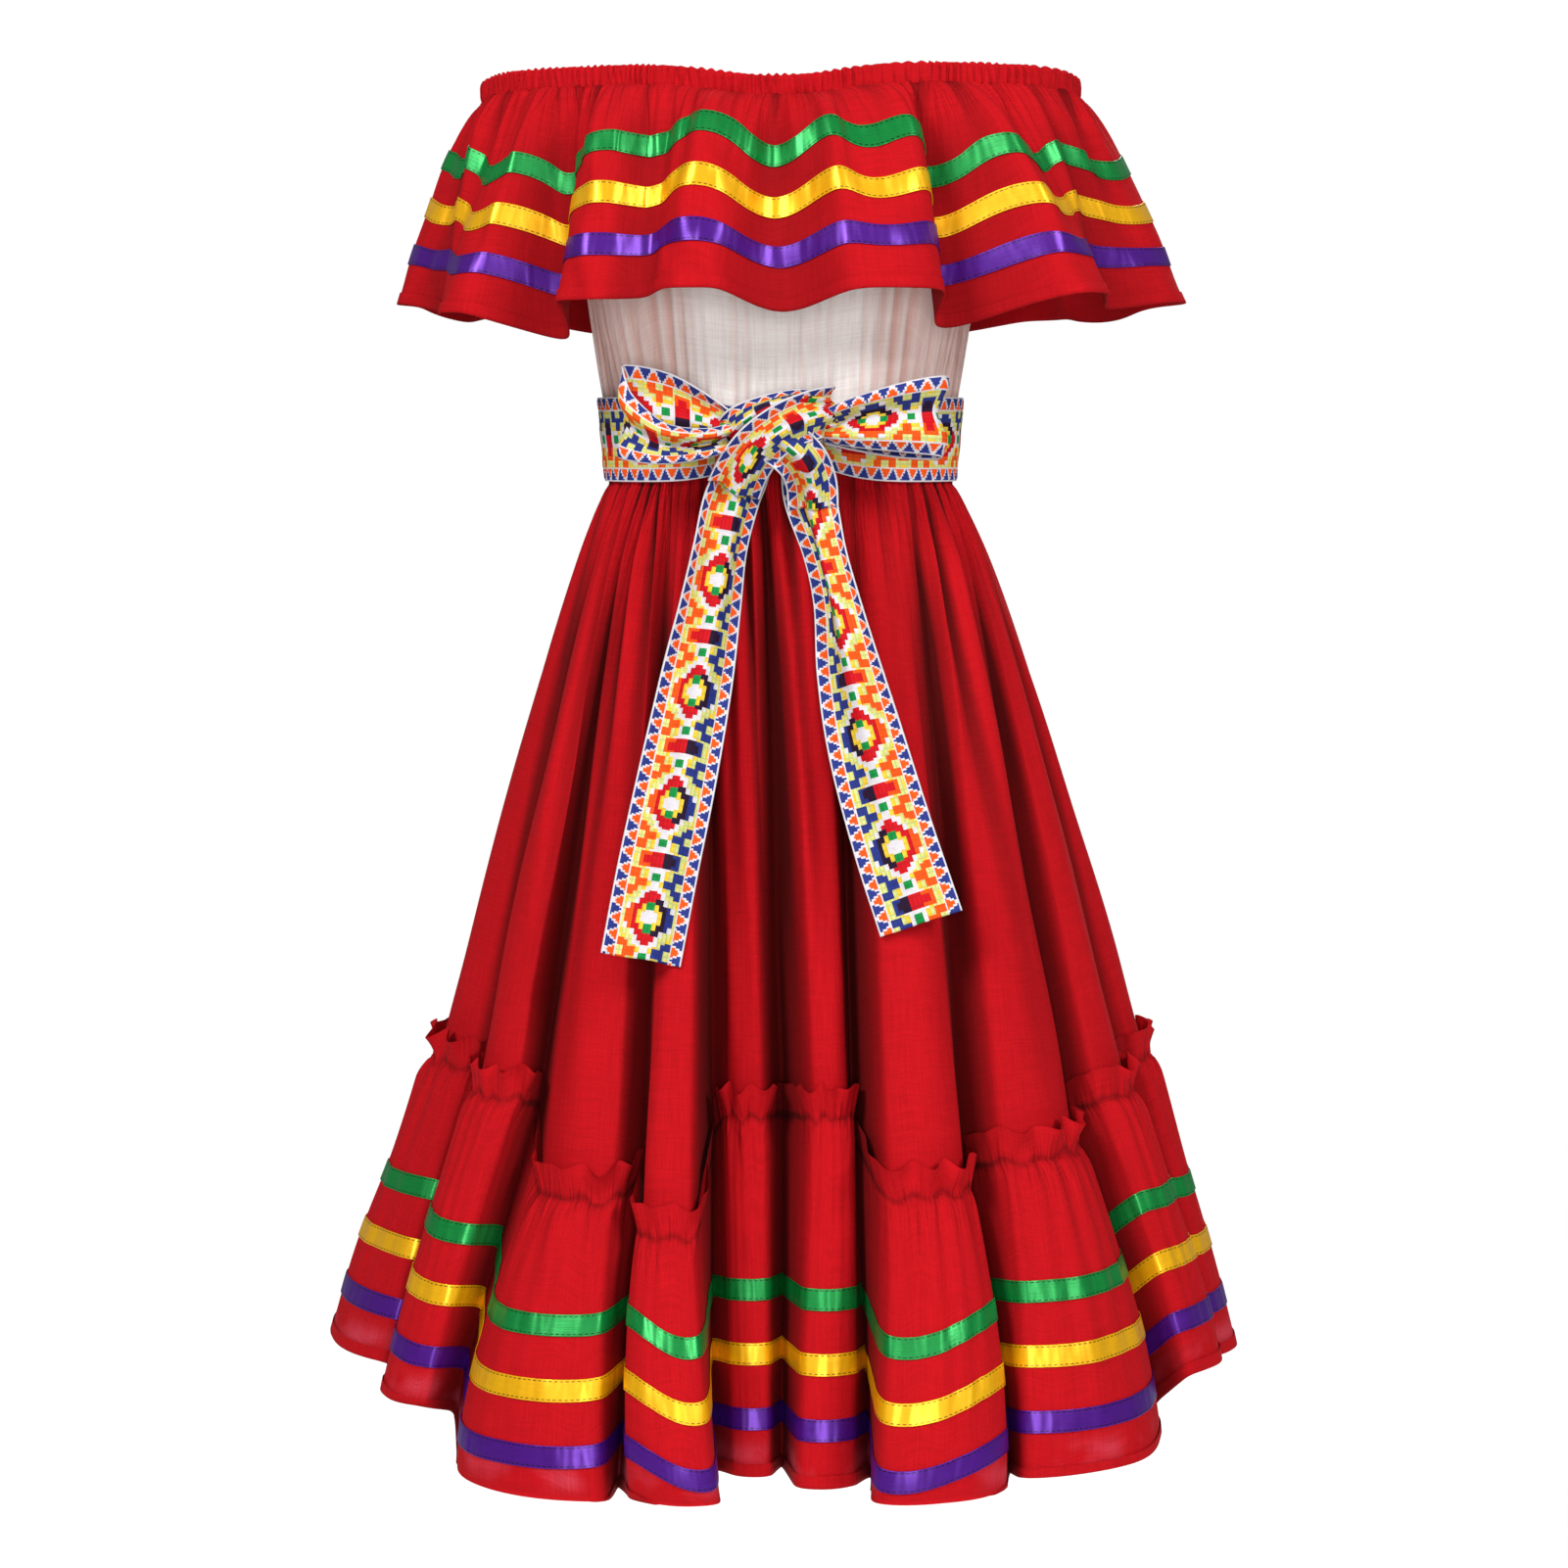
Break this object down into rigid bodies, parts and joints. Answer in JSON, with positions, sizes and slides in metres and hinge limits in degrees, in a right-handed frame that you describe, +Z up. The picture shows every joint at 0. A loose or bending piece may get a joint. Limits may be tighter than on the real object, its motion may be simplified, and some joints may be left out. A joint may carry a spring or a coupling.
{
  "type": "mexican embroidered dress",
  "caption": "Girl's off-the-shoulder folk dress as worn: ribbon-trimmed shoulder flounce, white bodice, gathered skirt with a frilled ribbon-trimmed tier, and a woven sash tied in a bow.",
  "frame": {"origin": "centre of the elastic neckline, where the wearer's chest and upper arms hold it", "axes": "+Z up, the front faces -Y, +X is the wearer's left"},
  "size_m": [0.5321, 0.5007, 0.7747],
  "materials": {
    "red_cotton": "matt slubbed cotton",
    "white_cotton": "matt sheer cotton",
    "green_satin": "satin",
    "yellow_satin": "satin",
    "purple_satin": "satin",
    "woven_sash": "woven in many colours"
  },
  "bodies": {
    "root": {"neck_casing": "red_cotton", "flounce_front": "red_cotton", "sleeve_right": "red_cotton", "flounce_back": "red_cotton", "sleeve_left": "red_cotton", "flounce_front_ribbon_green": "green_satin", "sleeve_right_ribbon_green": "green_satin", "flounce_back_ribbon_green": "green_satin", "sleeve_left_ribbon_green": "green_satin", "flounce_front_ribbon_yellow": "yellow_satin", "sleeve_right_ribbon_yellow": "yellow_satin", "flounce_back_ribbon_yellow": "yellow_satin", "sleeve_left_ribbon_yellow": "yellow_satin", "flounce_front_ribbon_purple": "purple_satin", "sleeve_right_ribbon_purple": "purple_satin", "flounce_back_ribbon_purple": "purple_satin", "sleeve_left_ribbon_purple": "purple_satin", "bodice_front": "white_cotton", "bodice_back": "white_cotton", "skirt_front": "red_cotton", "skirt_back": "red_cotton", "tier_front": "red_cotton", "tier_back": "red_cotton", "tier_front_ribbon_green": "green_satin", "tier_back_ribbon_green": "green_satin", "tier_front_ribbon_yellow": "yellow_satin", "tier_back_ribbon_yellow": "yellow_satin", "tier_front_ribbon_purple": "purple_satin", "tier_back_ribbon_purple": "purple_satin", "sash_band": "woven_sash", "sash_knot": "woven_sash", "sash_loop_left": "woven_sash", "sash_loop_right": "woven_sash", "sash_tail_left": "woven_sash", "sash_tail_right": "woven_sash"}
  },
  "joints": []
}
